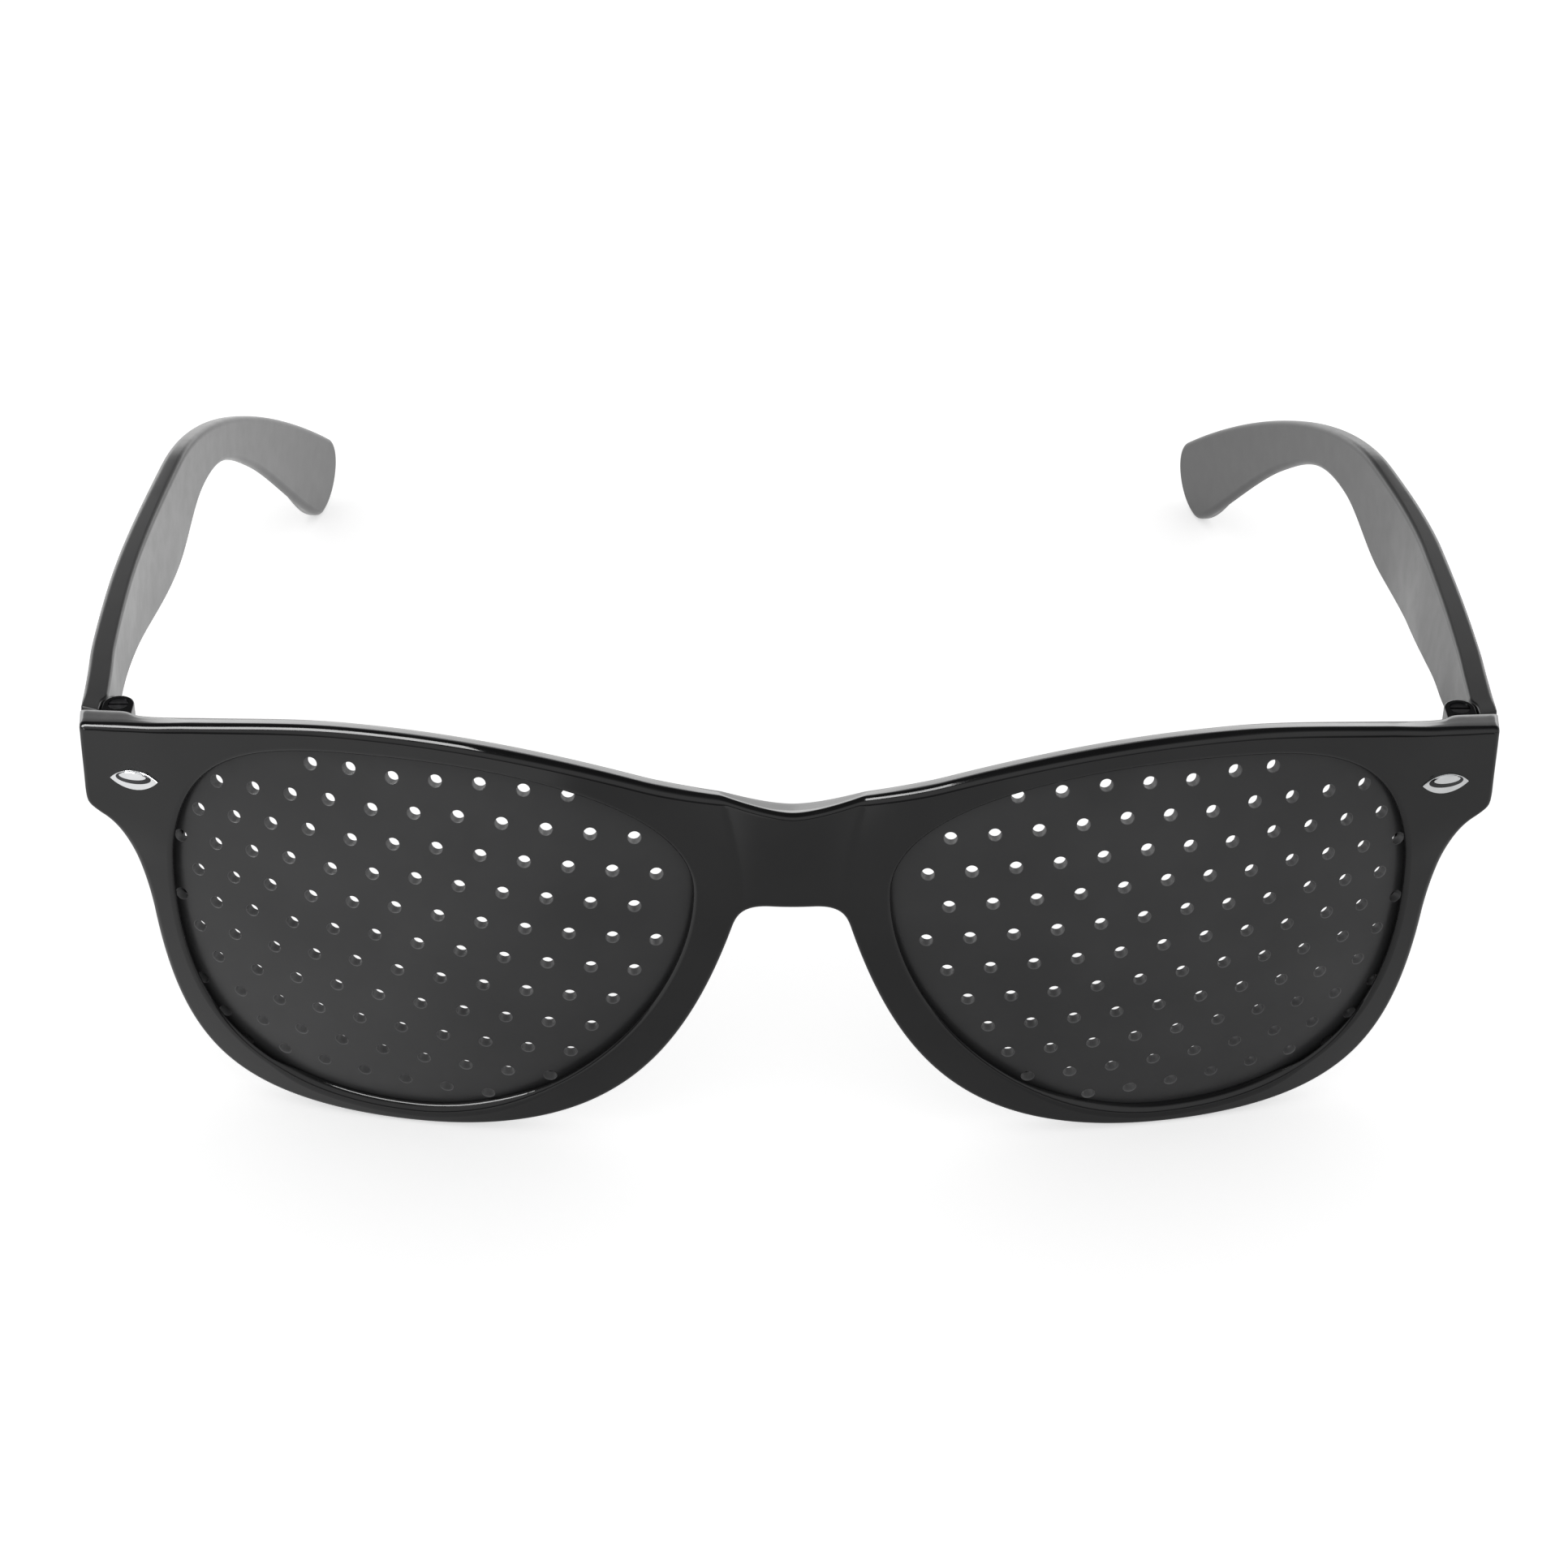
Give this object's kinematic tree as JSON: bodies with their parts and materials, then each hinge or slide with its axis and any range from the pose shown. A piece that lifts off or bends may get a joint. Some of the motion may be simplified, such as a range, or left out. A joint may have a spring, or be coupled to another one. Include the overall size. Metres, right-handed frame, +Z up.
{
  "type": "pinhole glasses",
  "caption": "Eyeglasses with a one-piece moulded front, opaque lens plates pierced all over with small holes, and two folding temples with curled tips.",
  "frame": {"origin": "middle of the footprint of the open glasses, on the surface that they stand on", "axes": "+X towards the wearer's left, +Y from the front back to the tips of the temples, +Z up"},
  "size_m": [0.15, 0.1428, 0.0484],
  "materials": {
    "frame": "glossy black",
    "lens_plate": "satin dark grey",
    "temple": "glossy black",
    "screw": "plain steel",
    "rivet": "polished"
  },
  "bodies": {
    "front": {"front_frame": "frame", "right_lens": "lens_plate", "left_lens": "lens_plate", "right_hinge_screw": "screw", "left_hinge_screw": "screw", "right_rivet": "rivet", "left_rivet": "rivet"},
    "right_temple_arm": {"right_temple": "temple"},
    "left_temple_arm": {"left_temple": "temple"}
  },
  "joints": [
    {"name": "right_temple_fold", "type": "hinge", "parent": "front", "child": "right_temple_arm", "pos_m": [-0.0699, -0.05259, 0.0415], "axis": [0, 0, -1], "range_deg": [0, 84]},
    {"name": "left_temple_fold", "type": "hinge", "parent": "front", "child": "left_temple_arm", "pos_m": [0.0699, -0.05259, 0.0415], "axis": [0, 0, 1], "range_deg": [0, 87]}
  ]
}
